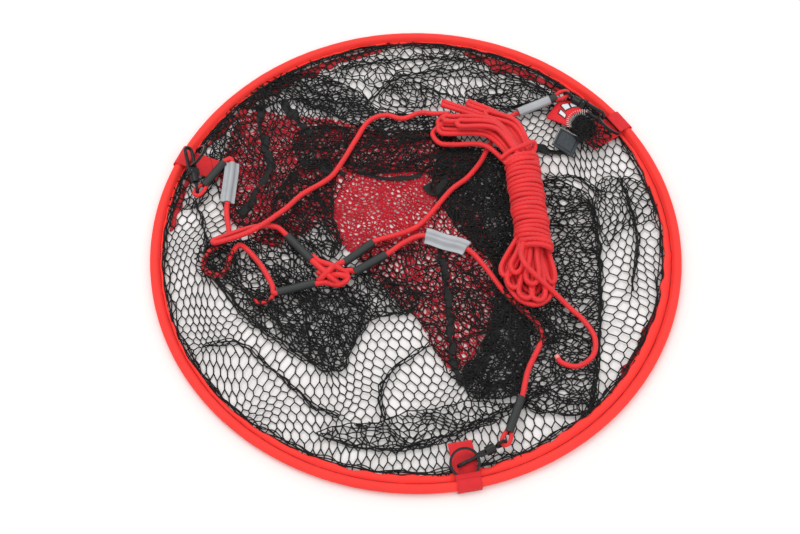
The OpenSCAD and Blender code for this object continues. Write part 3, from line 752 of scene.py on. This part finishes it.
# One side of the loop through a swivel's eye: along it and across it
LOOP_R = 2.3
LOOP_SIDE = [(17, 1.5), (10, 3.4), (3, 4.4), (-2.6, 3.2)]
LOOP_END = (-4.3, 0)
BRIDLE = {
    "front": [(121, -158, 8), (133, -132, 7), (138, -116, 6), (131, -98, 6), (114, -80, 6),
              (97, -60, 7), (76, -28, 8), (57, -7, 9), (33, 1.5, 9), (8, 10, 9), (-12, 1, 10),
              (-31, -15, 12)],
    "right": [(119, 177, 10), (107, 167, 9), (88, 135, 9), (76, 110, 9), (60, 88, 9), (40, 70, 9),
              (10, 30, 9), (-10, 15, 10), (-46, 1, 12)],
    "left": [(-213, 108, 9), (-216, 46, 9), (-212, 15, 9), (-217, 3, 7), (-236, -13, 6),
             (-236, -34, 6), (-216, -38, 6), (-208, -14, 7), (-197, -3, 9), (-175, -27, 9),
             (-160, -55, 11), (-157, -66, 12)],
}
# Where each bridle passes from its clip to its ring, and from its ring to the hoop
HANDOVER = {"front": ((128, -145, 8), (114, -80, 6)), "right": ((119, 177, 10), (97, 150, 9)),
            "left": ((-216, 49, 9), (-217, 3, 7))}
# Where the left bridle's leg span begins and ends, past its loops
LEFT_RISE = np.array([(-195, -10, 8), (-158, -10, 10)])
HAUL = [(-147, 10, 12), (-160, 19, 14), (-185, 16, 17), (-222, 1, 18), (-228, -4, 19), (-221, -5, 20),
        (-185, 7, 24), (-150, 37, 20), (-130, 62, 14), (-100, 87, 9), (-85, 110, 9), (-70, 140, 9),
        (-55, 167, 9), (-35, 176, 9), (-15, 171, 9), (5, 177, 12), (22, 174, 15), (40, 172, 18)]


def toward(a, b, distance):
    a, b = np.asarray(a, float), np.asarray(b, float)
    return a + unit(b - a) * distance


def nearest(path, point):
    return int(np.argmin(np.linalg.norm(path - np.asarray(point, float), axis=1)))


def stretch(obj):
    """Bakes a piece's placement into its mesh."""
    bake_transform(obj)


def bridle(name):
    """One leg, from the loop in its swivel's eye to the knot: (path, span of each run)."""
    eye, tip = np.array(EYE_END[name]), np.array(TUBE_END[name], float)
    d = unit(tip - eye)
    s = unit(np.cross(d, [0, 0, 1]))
    around_eye = LOOP_SIDE + [LOOP_END] + [(u, -v) for u, v in LOOP_SIDE[::-1]]
    loop = spline([eye + d * u + s * v for u, v in around_eye], 1.0)
    loop = piece(f"bridle_loop_{name}", [cord(loop, LOOP_R, 10)], CORD_RED, "red_cord",
                 (f"bridle_cord_{name}",))
    stretch(loop)
    at_knot = toward(BRIDLE[name][-1], AIM[name], INTO_TUBE)
    path = spline([toward(tip, eye, 12), tip] + BRIDLE[name] + [at_knot], CORD_STEP)
    cuts = [0] + [nearest(path, p) for p in HANDOVER[name]] + [len(path) - 1]
    chain = [f"clip_{name}", f"ring_{name}", "hoop", "knot"]
    spans = {}
    for n, part in enumerate(("clip", "ring", "leg")):
        run = path[cuts[n]:cuts[n + 1] + 1]
        begin, finish = path[nearest(path, tip)] if part == "clip" else run[0], run[-1]
        if (name, part) == ("left", "leg"):
            begin, finish = LEFT_RISE
        spans[part] = (chain[n], chain[n + 1], begin, finish)
        stretch(piece(f"bridle_{part}_{name}", [cord(run, CORD_R)], CORD_RED, "red_cord",
                      (f"bridle_cord_{name}",)))
    return path, spans


bridles = {name: bridle(name) for name in SIDES}
haul = spline([toward(HAUL[0], AIM["haul"], INTO_TUBE)] + HAUL, CORD_STEP)
lead = piece("haul_rope_run", [cord(haul, CORD_R)], CORD_RED, "red_cord", ("haul_rope_lead",))
stretch(lead)

KNOT_TURNS = [
    [(-120, -21, 13), (-112, -31, 16), (-103, -41, 19), (-94, -50, 18), (-86, -54, 14)],
    [(-116, -19, 13), (-108, -27, 15), (-98, -33, 19), (-87, -38, 20), (-77, -44, 16),
     (-79, -52, 13), (-90, -55, 12), (-102, -53, 13), (-116, -56, 13)],
    [(-77, -26, 14), (-86, -32, 18), (-95, -41, 22), (-103, -48, 18), (-109, -51, 13)],
    [(-66, -39, 13.5), (-76, -39, 15), (-88, -44, 15), (-100, -44, 14), (-110, -40, 13)],
    [(-74, -50, 18), (-84, -48, 21), (-94, -45, 17), (-103, -37, 15)],
    [(-84, -28, 12), (-92, -36, 13), (-96, -48, 12), (-88, -56, 13), (-78, -54, 17), (-75, -47, 19)],
]
# The left bridle's spare end hooks out below its tube
SPARE_END = [(-156, -62, 10), (-160, -68, 6), (-167, -73, 4.5), (-175, -74, 4), (-179, -69, 4)]
rigid("knot", "bridle_knot_turns", [cord(spline(line, 1.0), CORD_R * 1.08) for line in KNOT_TURNS]
      + [cord(spline(SPARE_END, 1.0), CORD_R * 0.9)], CORD_RED, "red_cord", ("bridle_knot",))

# ---- hank
HANK_FROM, HANK_TO = np.array([122.0, 102, 25]), np.array([133.0, -20, 25])
WRAPS = 20.5
BUNDLE_W, BUNDLE_H = 17.6, 14.0
HANK_AXIS = unit(HANK_TO - HANK_FROM)
HANK_ACROSS = unit(np.cross(HANK_AXIS, [0, 0, 1]))


def wraps():
    """The rope's turns round the bundle, a little loose and leaning."""
    theta = np.arange(0, WRAPS * TAU, 0.095)
    share = theta / theta[-1]
    loose = 1 + 0.035 * np.sin(theta * 0.83 + 1) + 0.03 * np.sin(theta * 0.37)
    lean = 2.6 * (1 - share) - 2.5 * share + 1.2 * np.sin(theta * 0.21)
    return (HANK_FROM + np.outer(share * np.linalg.norm(HANK_TO - HANK_FROM), HANK_AXIS)
            + np.outer(lean * np.cos(theta), HANK_AXIS)
            + np.outer(BUNDLE_W * loose * np.cos(theta), HANK_ACROSS)
            + np.outer(BUNDLE_H * loose * np.sin(theta), [0, 0, 1]))


def bight(root, via, tip, gap, z_root, z_tip):
    """A doubled strand: out from the bundle, round the tip and back."""
    root, via, tip = (np.array(p, float) for p in (root, via, tip))
    d = unit(tip - via)
    s = np.array([-d[1], d[0]])
    g = gap / 2
    plan = [root + s * 0.4 * g, via + s * 0.8 * g, tip - d * g * 1.6 + s * g * 1.05,
            tip - d * g * 0.4 + s * g, tip + d * g * 0.35, tip - d * g * 0.4 - s * g,
            tip - d * g * 1.6 - s * g * 1.05, via - s * 0.8 * g, root - s * 0.4 * g]
    level = np.interp([0, .4, .8, .9, 1, .9, .8, .4, 0], [0, 1], [z_root, z_tip])
    return [(x, y, z) for (x, y), z in zip(plan, level)]


def nested(level, plan):
    """A bight given by its own plan, lowest at its middle."""
    swing = np.linspace(0, math.pi, len(plan))
    return [(x + 1, y - 3, level - 5 * math.sin(a)) for (x, y), a in zip(plan, swing)]


UPPER = [
    # root, via, tip, gap, height at the root, height at the tip
    ((108, 104), (82, 137), (25, 146), 25, 20, 14), ((112, 106), (84, 142), (29, 148), 13, 25, 22),
    ((115, 106), (88, 148), (30, 158), 18, 28, 20), ((121, 106), (92, 150), (34, 158), 7, 32, 28),
    ((126, 106), (98, 154), (34, 188), 5, 26, 14), ((131, 106), (106, 160), (63, 188), 5, 24, 16),
    ((118, 104), (94, 142), (50, 148), 8, 36, 33), ((134, 106), (118, 150), (84, 168), 8, 28, 24),
]
# Below the wraps the bights nest inside one another
LOWER = [
    (20, [(113, 4), (103, -22), (99, -48), (112, -72), (132, -79), (147, -68), (151, -44),
          (147, -18), (142, 4)]),
    (19, [(116, 4), (107, -24), (105, -48), (116, -65), (131, -72), (142, -62), (145, -42),
          (143, -18), (139, 4)]),
    (18, [(119, 4), (112, -26), (111, -46), (120, -59), (130, -64), (137, -55), (139, -40),
          (138, -18), (135, 4)]),
    (17, [(122, 4), (117, -26), (117, -42), (123, -52), (129, -55), (133, -46), (133, -18), (131, 4)]),
    (27, [(115, 4), (103, -16), (94, -34), (95, -45), (103, -45), (112, -28), (122, 4)]),
    (27, [(119, 4), (110, -22), (100, -50), (105, -61), (113, -58), (118, -34), (126, 4)]),
    (26, [(124, 4), (119, -32), (112, -64), (119, -74), (127, -68), (127, -36), (131, 4)]),
    (26, [(129, 4), (129, -34), (126, -68), (134, -77), (141, -68), (138, -34), (136, 4)]),
    (25, [(134, 4), (139, -26), (146, -52), (152, -52), (152, -38), (146, -14), (141, 4)]),
    (33, [(120, 4), (113, -18), (104, -36), (108, -46), (116, -40), (121, -18), (126, 4)]),
    (33, [(127, 4), (125, -26), (120, -52), (127, -60), (134, -52), (133, -26), (133, 4)]),
]
# The loop tucked under the first wrap, and the strand that crosses the bundle there
TUCKED = [[(98, 100, 30), (108, 106, 36), (122, 111, 40), (131, 116, 39), (137, 119, 35),
           (137, 112, 31), (132, 105, 33), (126, 98, 36)],
          [(102, 92, 32), (112, 96, 37), (126, 98, 38), (140, 94, 31)]]
# Strands inside the bundle: across it, and their height
CORE = ((-8, 20), (0, 32), (8, 22), (-3, 26), (6, 30))
TAIL = [(122, -8, 33), (116, -29, 38), (120, -45, 39), (137, -60, 31), (153, -70, 19), (170, -84, 10),
        (184, -98, 8), (195, -119, 8), (192, -141, 8), (175, -154, 8), (158, -150, 8), (152, -141, 8)]

lines = [bight(*shape) for shape in UPPER] + [nested(*shape) for shape in LOWER] + TUCKED
hank = [resample(wraps(), ROPE_STEP)] + [spline(line, ROPE_STEP) for line in lines]
hank += [resample(np.array([HANK_FROM, HANK_TO]) + HANK_ACROSS * x + [0, 0, z - HANK_FROM[2]], ROPE_STEP)
         for x, z in CORE]
rigid("hank", "haul_rope_hank_wraps", [cord(line, ROPE_R) for line in hank], CORD_RED, "red_cord",
      ("haul_rope_hank",))
tail = spline(TAIL, CORD_STEP)
rigid("hank", "haul_rope_tail_end", [cord(tail[:-3], ROPE_R)], CORD_RED, "red_cord", ("haul_rope_tail",))
rigid("hank", "haul_rope_sealed_tip", [sweep(tail[-4:], circle(12, ROPE_R * 0.96))], CORD_TIP, "red_cord")

# ---- reflective sleeves
# Where each begins, length, width, height of the cord's tunnel, up, and the run it is sewn round
FLAGS = {
    "front": (BRIDLE["front"][7], 52, 19, 3.3, (0.1, -0.25, 1), "leg"),
    "right": (toward((119, 177, 10), TUBE_END["right"], 3), 50, 10.6, 4.9, (0.2, -0.5, 1), "clip"),
    "left": (BRIDLE["left"][0], 56, 17, 3.3, (0.3, -0.1, 1), "clip"),
}


def flag(path, begin, length, width, tunnel, up):
    """A flat hem of tape with the cord's tunnel down its middle."""
    ring = circle(32)
    x = width / 2 * ring[:, 0]
    hump = (tunnel + 0.7) * np.exp(-((x / (tunnel * 1.15)) ** 4))
    outer = np.stack([x, np.sign(ring[:, 1]) * np.maximum(hump, 0.6 * np.abs(ring[:, 1]) ** 0.3)], 1)
    inner = (outer * [(width / 2 - 0.8) / (width / 2), 0.86])[::-1]
    section = np.vstack([outer, outer[:1], inner[-1:], inner])
    at = nearest(path, begin)
    return sweep(path[at:at + int(length / CORD_STEP)], section, up)


for name, (begin, length, width, tunnel, up, part) in FLAGS.items():
    path, spans = bridles[name]
    path = path[::-1] if name == "right" else path
    stretch(piece(f"reflective_flag_{name}", [flag(path, begin, length, width, tunnel, up)],
                  REFLECT_GREY, "reflective", (f"reflective_sleeve_{name}",)))

# ---- closure strap
def shell(grid, thick):
    """A closed sheet over a grid of points."""
    n, m = grid.shape[:2]
    du, dv = np.gradient(grid, axis=0), np.gradient(grid, axis=1)
    normal = unit(np.cross(du, dv))
    normal *= np.sign(normal[..., 2:] + 1e-9)
    half = normal * thick / 2
    verts = np.vstack([(grid + half).reshape(-1, 3), (grid - half).reshape(-1, 3)])
    winding = 1 if np.cross(du[0, 0], dv[0, 0])[2] > 0 else -1
    ids = np.arange(n * m).reshape(n, m)
    corners = [ids[:-1, :-1], ids[1:, :-1], ids[1:, 1:], ids[:-1, 1:]]
    front = np.stack(corners, -1).reshape(-1, 4)[:, ::winding]
    sheets = np.stack([front, front[:, ::-1]], 1).reshape(-1, 4)
    back = np.tile([0, n * m], len(front))[:, None]
    rim = np.concatenate([ids[0], ids[1:, -1], ids[-1, -2::-1], ids[-2:0:-1, 0]])
    after = np.roll(rim, -1)
    edge = np.stack([rim, after, after + n * m, rim + n * m], 1)[:, ::winding]
    uv = np.stack(np.divmod(sheets, m), -1).reshape(-1, 2) * 1.6
    return verts, np.vstack([sheets + back, edge]).tolist(), np.vstack([uv, np.zeros((4 * len(edge), 2))])


ROLL_AT = np.array([198.0, 157.5])
ROLL_R = 15.0
ROLL_BASE = 4.6
PILE = 900
# The roll's section, drawn at a radius of 22
DOME_R = 22.0
DOME = [(21.5, 0.5), (22.0, 4.0), (21.0, 8.0), (17.5, 10.6), (10, 11.6), (3, 11.8)]
DOME_SIDES = 48
# The panel's inner edge goes round the roll, and its outer edge is a bent line
PANEL_U, PANEL_V = np.linspace(0, 1, 26), np.linspace(0, 1, 14)
PANEL_ARC = np.radians(np.interp(PANEL_U, [0, 1], [196, 72]))
PANEL_INNER = ROLL_AT + 17.5 * np.stack([np.cos(PANEL_ARC), np.sin(PANEL_ARC)], 1)
PANEL_EDGE = np.array([(155, 172), (171, 196), (193, 197), (204, 180)], float)
PANEL_OUTER = along(PANEL_EDGE, PANEL_U * run_of(PANEL_EDGE)[-1])
# Plain blocks printed on the panel: from and to, round it and outward
MARKS = ((0.20, 0.29, 0.26, 0.62), (0.37, 0.52, 0.40, 0.72), (0.56, 0.72, 0.42, 0.70))
STRAP_COVER = [(184, 158), (192, 170), (206, 174), (222, 158), (230, 140), (214, 124), (196, 124),
               (186, 140)]
FLAP = np.array([(170.5, 157, 12.5), (160, 135, 8.0), (183, 117, 7.5), (195, 141, 11.5)])
ANCHOR = [(212, 157, 7.2), (222, 158, 6.6), (232, 160, 6.4)]


def panel(u, v, lift=0.0):
    """Points of the strap's panel: u goes round the roll and v outward from it."""
    inner, outer = (np.stack([np.interp(u, PANEL_U, edge[:, k]) for k in (0, 1)], 1)[:, None]
                    for edge in (PANEL_INNER, PANEL_OUTER))
    v = v[None, :, None]
    z = 16.5 - 8.0 * v[..., 0] ** 1.8 + 1.2 * np.sin(u[:, None] * math.pi) + lift
    return np.concatenate([inner * (1 - v) + outer * v, z[..., None]], -1)


def marks(margin, lift):
    """The printed blocks, each widened by a margin and lifted off the panel."""
    return [shell(panel(np.linspace(u0 - margin, u1 + margin, 8),
                        np.linspace(v0 - margin * 2, v1 + margin * 2, 8), lift), 0.3)
            for u0, u1, v0, v1 in MARKS]


def on_roll(r, a, z):
    """Points at radius r and angle a round the roll's middle."""
    return polar(r, a, z) + [*ROLL_AT, 0]


def roll():
    """The rolled loop tape: its body and its pile."""
    a = np.arange(DOME_SIDES) / DOME_SIDES * TAU
    rough = 1 + 0.03 * np.sin(5 * a) + 0.02 * np.sin(11 * a + 1)
    verts = np.vstack([on_roll(r * rough * ROLL_R / DOME_R, a, ROLL_BASE + z) for r, z in DOME])
    rings = len(DOME)
    faces = wrapped(rings - 1, rings, DOME_SIDES).tolist()
    faces += [list(range(DOME_SIDES))[::-1], list(range((rings - 1) * DOME_SIDES, rings * DOME_SIDES))]
    draw = np.random.default_rng(77)
    r, a = 0.82 * ROLL_R * np.sqrt(draw.uniform(0, 1, PILE)), draw.uniform(0, TAU, PILE)
    root = on_roll(r, a, ROLL_BASE + np.interp(r / ROLL_R, [0, 0.5, 0.8, 1], [11.6, 11.4, 10.4, 7.5]))
    tip = root + draw.normal(0, 1, (PILE, 3)) * [0.9, 0.9, 0.5] + [0, 0, 0.7]
    return [(verts, faces, no_uv(faces)), rods(root, tip, 0.2)]


def flap(u, v, lift=0.0):
    """Points of the strap's hook flap, which is slightly domed."""
    sheet = (FLAP[0] * (1 - u) + FLAP[1] * u) * (1 - v) + (FLAP[3] * (1 - u) + FLAP[2] * u) * v
    rise = 1.6 * np.sin(u * math.pi) * np.sin(v * math.pi) + lift
    return sheet + rise * np.array([0, 0, 1.0])


def border(inset, thick):
    """Lines of stitches round the flap, one for each side."""
    run = np.linspace(inset, 1 - inset, 22)[:, None]
    sides = []
    for fixed in (inset, 1 - inset):
        held = np.full_like(run, fixed)
        for line in (flap(held, run, 0.85), flap(run, held, 0.85)):
            sides.append(rods(line[:-1], line[1:] - 0.25 * (line[1:] - line[:-1]), thick, 4))
    return sides


rigid("hoop", "strap_patch_panel", [shell(panel(PANEL_U, PANEL_V), 1.3)], WEB_RED, "red_webbing",
      ("strap_patch",))
rigid("hoop", "strap_mark_edge", marks(0.025, 0.75), PRINT_DARK, "loop_tape")
rigid("hoop", "strap_mark", marks(0.0, 1.0), PRINT_PALE, "reflective")
rigid("hoop", "strap_loop_roll", roll(), LOOP_BLACK, "loop_tape", ("strap_loop_tape",))
# The wall's net lies over the roll
cover = strands([hex_net(STRAP_COVER, 7.6, 20 + 40 * n, 0.8, 2.0, 30, 2.5, 30, 1300 + n, 15.6, 18.0)
                 for n in range(2)])
rigid("hoop", "net_wall_over_strap", [rods(*cover, STRAND_R)], NET_BLACK, "black_net", ("net_wall",))
# Whip stitches hold the panel to the roll
whip = np.radians(np.linspace(76, 192, 15))
low, top, far = (on_roll(r, whip, z) for r, z in ((14.2, 15.2), (17, 17.6), (20.5, 18.2)))
rigid("hoop", "strap_whip_stitches", [rods(low, top, 0.42, 5), rods(top, far, 0.42, 5)], THREAD_PALE,
      "reflective")
across, down = np.linspace(0, 1, 14)[:, None, None], np.linspace(0, 1, 14)[None, :, None]
rigid("strap_tail", "strap_hook_flap", [shell(flap(across, down), 1.5)], HOOK_GREY, "hook_tape",
      ("strap_hook_tape",))
rigid("strap_tail", "strap_hook_border", border(0.13, 0.4), PRINT_DARK, "loop_tape")
rigid("strap_tail", "strap_hook_piping", border(0.03, 0.35)[:2], THREAD_PALE, "reflective")
rigid("hoop", "strap_anchor_web", [ribbon(spline(ANCHOR, 1.5), (-0.25, 0.97, 0), 30, 1.2)], WEB_RED,
      "red_webbing", ("strap_anchor",))

# ---- CAD parts that show
FINISHES = ((METAL_BARE, ("hoop_", "gate_pin", "gate_spring")),
            (METAL_BLACK, ("split_ring", "clip_body", "clip_gate", "swivel_eye")),
            (TUBE_GREY, ("clip_tube", "knot_tube")))
for node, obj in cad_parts.items():
    for finish, names in FINISHES:
        if node.startswith(names):
            obj.data.materials.clear()
            obj.data.materials.append(finish)

# ---- stage
FLOOR_WHITE = material("floor_white", (247, 243, 241), 0.9, 0.0)
bpy.ops.mesh.primitive_plane_add(size=12, location=(0, 0, -0.0004))
ground = bpy.context.object
ground.name = "floor"
ground.data.materials.append(FLOOR_WHITE)

scene.world = bpy.data.worlds.new("studio")
scene.world.use_nodes = True
background = scene.world.node_tree.nodes["Background"].inputs
background["Color"].default_value = (1, 1, 1, 1)
background["Strength"].default_value = 0.86


def lamp(name, place, target, size, watts):
    data = bpy.data.lights.new(name, "AREA")
    data.size, data.energy = size, watts
    obj = bpy.data.objects.new(name, data)
    obj.location = place
    obj.rotation_euler = (Vector(target) - Vector(place)).to_track_quat("-Z", "Y").to_euler()
    scene.collection.objects.link(obj)


lamp("key", (-0.5, 0.5, 1.7), (0, 0, 0), 1.2, 10)
lamp("fill", (0.9, -0.9, 1.5), (0, 0, 0), 1.6, 5)

DISTANCE, LOOK_DOWN = 1.8, math.radians(60.29)
camera = bpy.data.cameras.new("camera")
camera.lens, camera.sensor_width = 71.9, 36.0
cam = bpy.data.objects.new("camera", camera)
cam.location = (-0.0178, -0.0259 - DISTANCE * math.cos(LOOK_DOWN), DISTANCE * math.sin(LOOK_DOWN))
cam.rotation_euler = (math.pi / 2 - LOOK_DOWN, 0, 0)
scene.collection.objects.link(cam)
bpy.context.scene.camera = cam
scene.view_settings.view_transform = "Standard"
